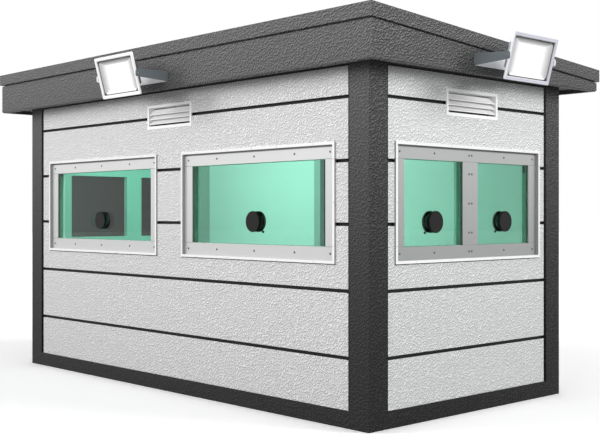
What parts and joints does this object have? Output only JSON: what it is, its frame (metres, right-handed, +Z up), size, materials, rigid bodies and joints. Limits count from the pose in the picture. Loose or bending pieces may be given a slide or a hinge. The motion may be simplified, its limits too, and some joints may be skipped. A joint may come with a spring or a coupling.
{
  "type": "security guard booth",
  "caption": "Hollow armoured guard booth with plank-clad walls, thick green glass windows with round ports, a flat overhanging roof and tilting floodlights.",
  "frame": {"origin": "middle of the footprint over the corner posts, on the ground", "axes": "+X along the front to the right as seen from outside, +Y from the front to the back, +Z up"},
  "size_m": [4.7011, 2.6811, 2.497],
  "materials": {
    "dark_coating": "dark grey coating with a rough spray texture",
    "roof_membrane": "matt roofing membrane",
    "floor": "matt grey floor covering",
    "wall_steel": "white paint inside, black primer behind the planks",
    "pale_plank": "pale grey stucco texture",
    "ceiling_board": "white paint",
    "window_steel": "white satin paint",
    "bar_steel": "grey satin paint",
    "green_glass": "thick green armoured glass",
    "smoked_glass": "thick dark armoured glass",
    "port_black": "black satin coating",
    "vent_white": "white paint",
    "yoke_steel": "grey satin paint",
    "lamp_white": "white satin paint",
    "lamp_glass": "clear glass",
    "bright_steel": "bright zinc"
  },
  "bodies": {
    "booth": {"base_frame": "dark_coating", "corner_posts": "dark_coating", "fascia": "dark_coating", "roof_trim": "dark_coating", "door_frame": "dark_coating", "door_leaf": "dark_coating", "roof_sheet": "roof_membrane", "floor_deck": "floor", "front_wall": "wall_steel", "back_wall": "wall_steel", "left_wall": "wall_steel", "right_wall": "wall_steel", "front_cladding": "pale_plank", "back_cladding": "pale_plank", "left_cladding": "pale_plank", "right_cladding": "pale_plank", "ceiling": "ceiling_board", "front_left_window": "window_steel", "front_right_window": "window_steel", "left_window": "window_steel", "right_window": "window_steel", "front_left_bars": "bar_steel", "front_right_bars": "bar_steel", "left_bars": "bar_steel", "right_bars": "bar_steel", "front_left_glass": "green_glass", "front_right_glass": "green_glass", "right_glass": "green_glass", "left_glass": "smoked_glass", "front_ports": "port_black", "left_ports": "port_black", "right_ports": "port_black", "front_vent": "vent_white", "left_vent": "vent_white", "right_vent": "vent_white", "front_lamp_yoke": "yoke_steel", "right_lamp_yoke": "yoke_steel", "door_hinges": "bright_steel", "door_handle": "bright_steel"},
    "front_lamp": {"front_lamp_head": "lamp_white", "front_lamp_lens": "lamp_glass", "front_lamp_pivots": "bright_steel"},
    "right_lamp": {"right_lamp_head": "lamp_white", "right_lamp_lens": "lamp_glass", "right_lamp_pivots": "bright_steel"}
  },
  "joints": [
    {"name": "front_lamp_tilt", "type": "hinge", "parent": "booth", "child": "front_lamp", "pos_m": [0, -1.436, 2.26], "axis": [1, 0, 0], "range_deg": [-60, 74.6]},
    {"name": "right_lamp_tilt", "type": "hinge", "parent": "booth", "child": "right_lamp", "pos_m": [2.449, 0, 2.26], "axis": [0, 1, 0], "range_deg": [-60, 74.6]}
  ]
}
